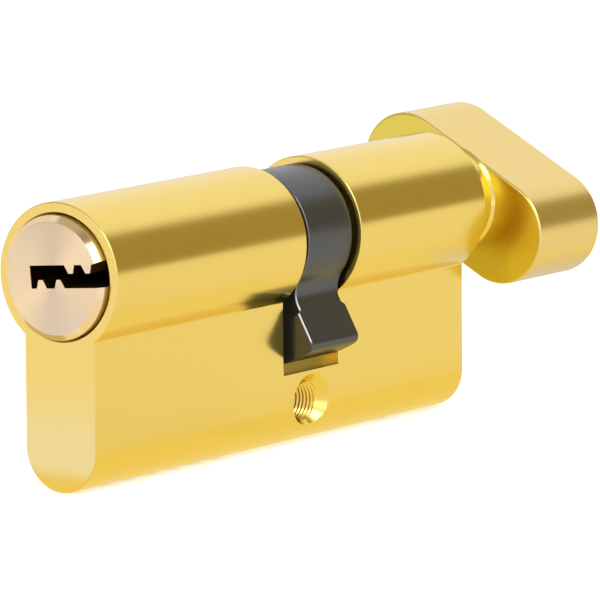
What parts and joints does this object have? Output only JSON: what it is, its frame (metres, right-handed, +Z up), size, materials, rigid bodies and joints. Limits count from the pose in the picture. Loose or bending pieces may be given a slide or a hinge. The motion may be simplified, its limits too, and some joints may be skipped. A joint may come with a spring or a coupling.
{
  "type": "lock cylinder",
  "caption": "Euro profile lock cylinder with a key plug at one end, a thumbturn knob at the other, sprung pin stacks and a turning cam between them.",
  "frame": {"origin": "centre of the fixing screw hole, in the middle of the web", "axes": "+X along the barrel towards the thumbturn, +Z up from the web to the barrel, -Y towards the side shown in the picture"},
  "size_m": [0.0881, 0.0262, 0.0344],
  "materials": {
    "polished_brass": "gold-coloured plating, polished",
    "turned_brass": "pale brass, fine turned",
    "plain_brass": "plain brass, as turned",
    "plain_steel": "plain steel",
    "spring_steel": "spring steel wire and strip",
    "sintered_steel": "sintered steel, dark steam-treated",
    "blackened_steel": "black oxide"
  },
  "bodies": {
    "housing": {"housing": "polished_brass", "chamber_plugs": "plain_brass", "friction_ball": "plain_steel", "friction_spring": "spring_steel", "pin_spring_1": "spring_steel", "pin_spring_2": "spring_steel", "pin_spring_3": "spring_steel", "pin_spring_4": "spring_steel", "pin_spring_5": "spring_steel", "pin_spring_6": "spring_steel"},
    "plug": {"key_plug": "turned_brass", "key_circlip": "spring_steel"},
    "coupling": {"coupling": "plain_steel"},
    "turn": {"rotor": "polished_brass", "cam": "sintered_steel", "turn_circlip": "spring_steel", "coupling_spring": "spring_steel", "knob": "polished_brass", "set_screw": "blackened_steel"},
    "key_pin_1": {"key_pin_1": "plain_brass"},
    "driver_pin_1": {"driver_pin_1": "plain_steel"},
    "key_pin_2": {"key_pin_2": "plain_brass"},
    "driver_pin_2": {"driver_pin_2": "plain_steel"},
    "key_pin_3": {"key_pin_3": "plain_brass"},
    "driver_pin_3": {"driver_pin_3": "plain_steel"},
    "key_pin_4": {"key_pin_4": "plain_brass"},
    "driver_pin_4": {"driver_pin_4": "plain_steel"},
    "key_pin_5": {"key_pin_5": "plain_brass"},
    "driver_pin_5": {"driver_pin_5": "plain_steel"},
    "key_pin_6": {"key_pin_6": "plain_brass"},
    "driver_pin_6": {"driver_pin_6": "plain_steel"}
  },
  "joints": [
    {"name": "key_turn", "type": "hinge", "parent": "housing", "child": "plug", "pos_m": [-0.02, 0, 0.0194], "axis": [1, 0, 0], "continuous": true},
    {"name": "thumbturn", "type": "hinge", "parent": "housing", "child": "turn", "pos_m": [0.02, 0, 0.0194], "axis": [1, 0, 0], "continuous": true},
    {"name": "coupling_push", "type": "slide", "parent": "plug", "child": "coupling", "axis": [1, 0, 0], "range_m": [0, 0.0024], "stiffness_N_per_m": 150, "springref_m": -0.004, "deforming": ["coupling_spring"]},
    {"name": "driver_pin_1_lift", "type": "slide", "parent": "housing", "child": "driver_pin_1", "axis": [0, 0, 1], "range_m": [-0.0015, 0], "stiffness_N_per_m": 100, "springref_m": 0.004, "deforming": ["pin_spring_1"]},
    {"name": "key_pin_1_lift", "type": "slide", "parent": "plug", "child": "key_pin_1", "axis": [0, 0, 1], "range_m": [0, 0.001]},
    {"name": "driver_pin_2_lift", "type": "slide", "parent": "housing", "child": "driver_pin_2", "axis": [0, 0, 1], "range_m": [-0.0015, 0], "stiffness_N_per_m": 100, "springref_m": 0.004, "deforming": ["pin_spring_2"]},
    {"name": "key_pin_2_lift", "type": "slide", "parent": "plug", "child": "key_pin_2", "axis": [0, 0, 1], "range_m": [0, 0.001]},
    {"name": "driver_pin_3_lift", "type": "slide", "parent": "housing", "child": "driver_pin_3", "axis": [0, 0, 1], "range_m": [-0.0015, 0], "stiffness_N_per_m": 100, "springref_m": 0.004, "deforming": ["pin_spring_3"]},
    {"name": "key_pin_3_lift", "type": "slide", "parent": "plug", "child": "key_pin_3", "axis": [0, 0, 1], "range_m": [0, 0.001]},
    {"name": "driver_pin_4_lift", "type": "slide", "parent": "housing", "child": "driver_pin_4", "axis": [0, 0, 1], "range_m": [-0.0015, 0], "stiffness_N_per_m": 100, "springref_m": 0.004, "deforming": ["pin_spring_4"]},
    {"name": "key_pin_4_lift", "type": "slide", "parent": "plug", "child": "key_pin_4", "axis": [0, 0, 1], "range_m": [0, 0.001]},
    {"name": "driver_pin_5_lift", "type": "slide", "parent": "housing", "child": "driver_pin_5", "axis": [0, 0, 1], "range_m": [-0.0015, 0], "stiffness_N_per_m": 100, "springref_m": 0.004, "deforming": ["pin_spring_5"]},
    {"name": "key_pin_5_lift", "type": "slide", "parent": "plug", "child": "key_pin_5", "axis": [0, 0, 1], "range_m": [0, 0.001]},
    {"name": "driver_pin_6_lift", "type": "slide", "parent": "housing", "child": "driver_pin_6", "axis": [0, 0, 1], "range_m": [-0.0015, 0], "stiffness_N_per_m": 100, "springref_m": 0.004, "deforming": ["pin_spring_6"]},
    {"name": "key_pin_6_lift", "type": "slide", "parent": "plug", "child": "key_pin_6", "axis": [0, 0, 1], "range_m": [0, 0.001]}
  ]
}
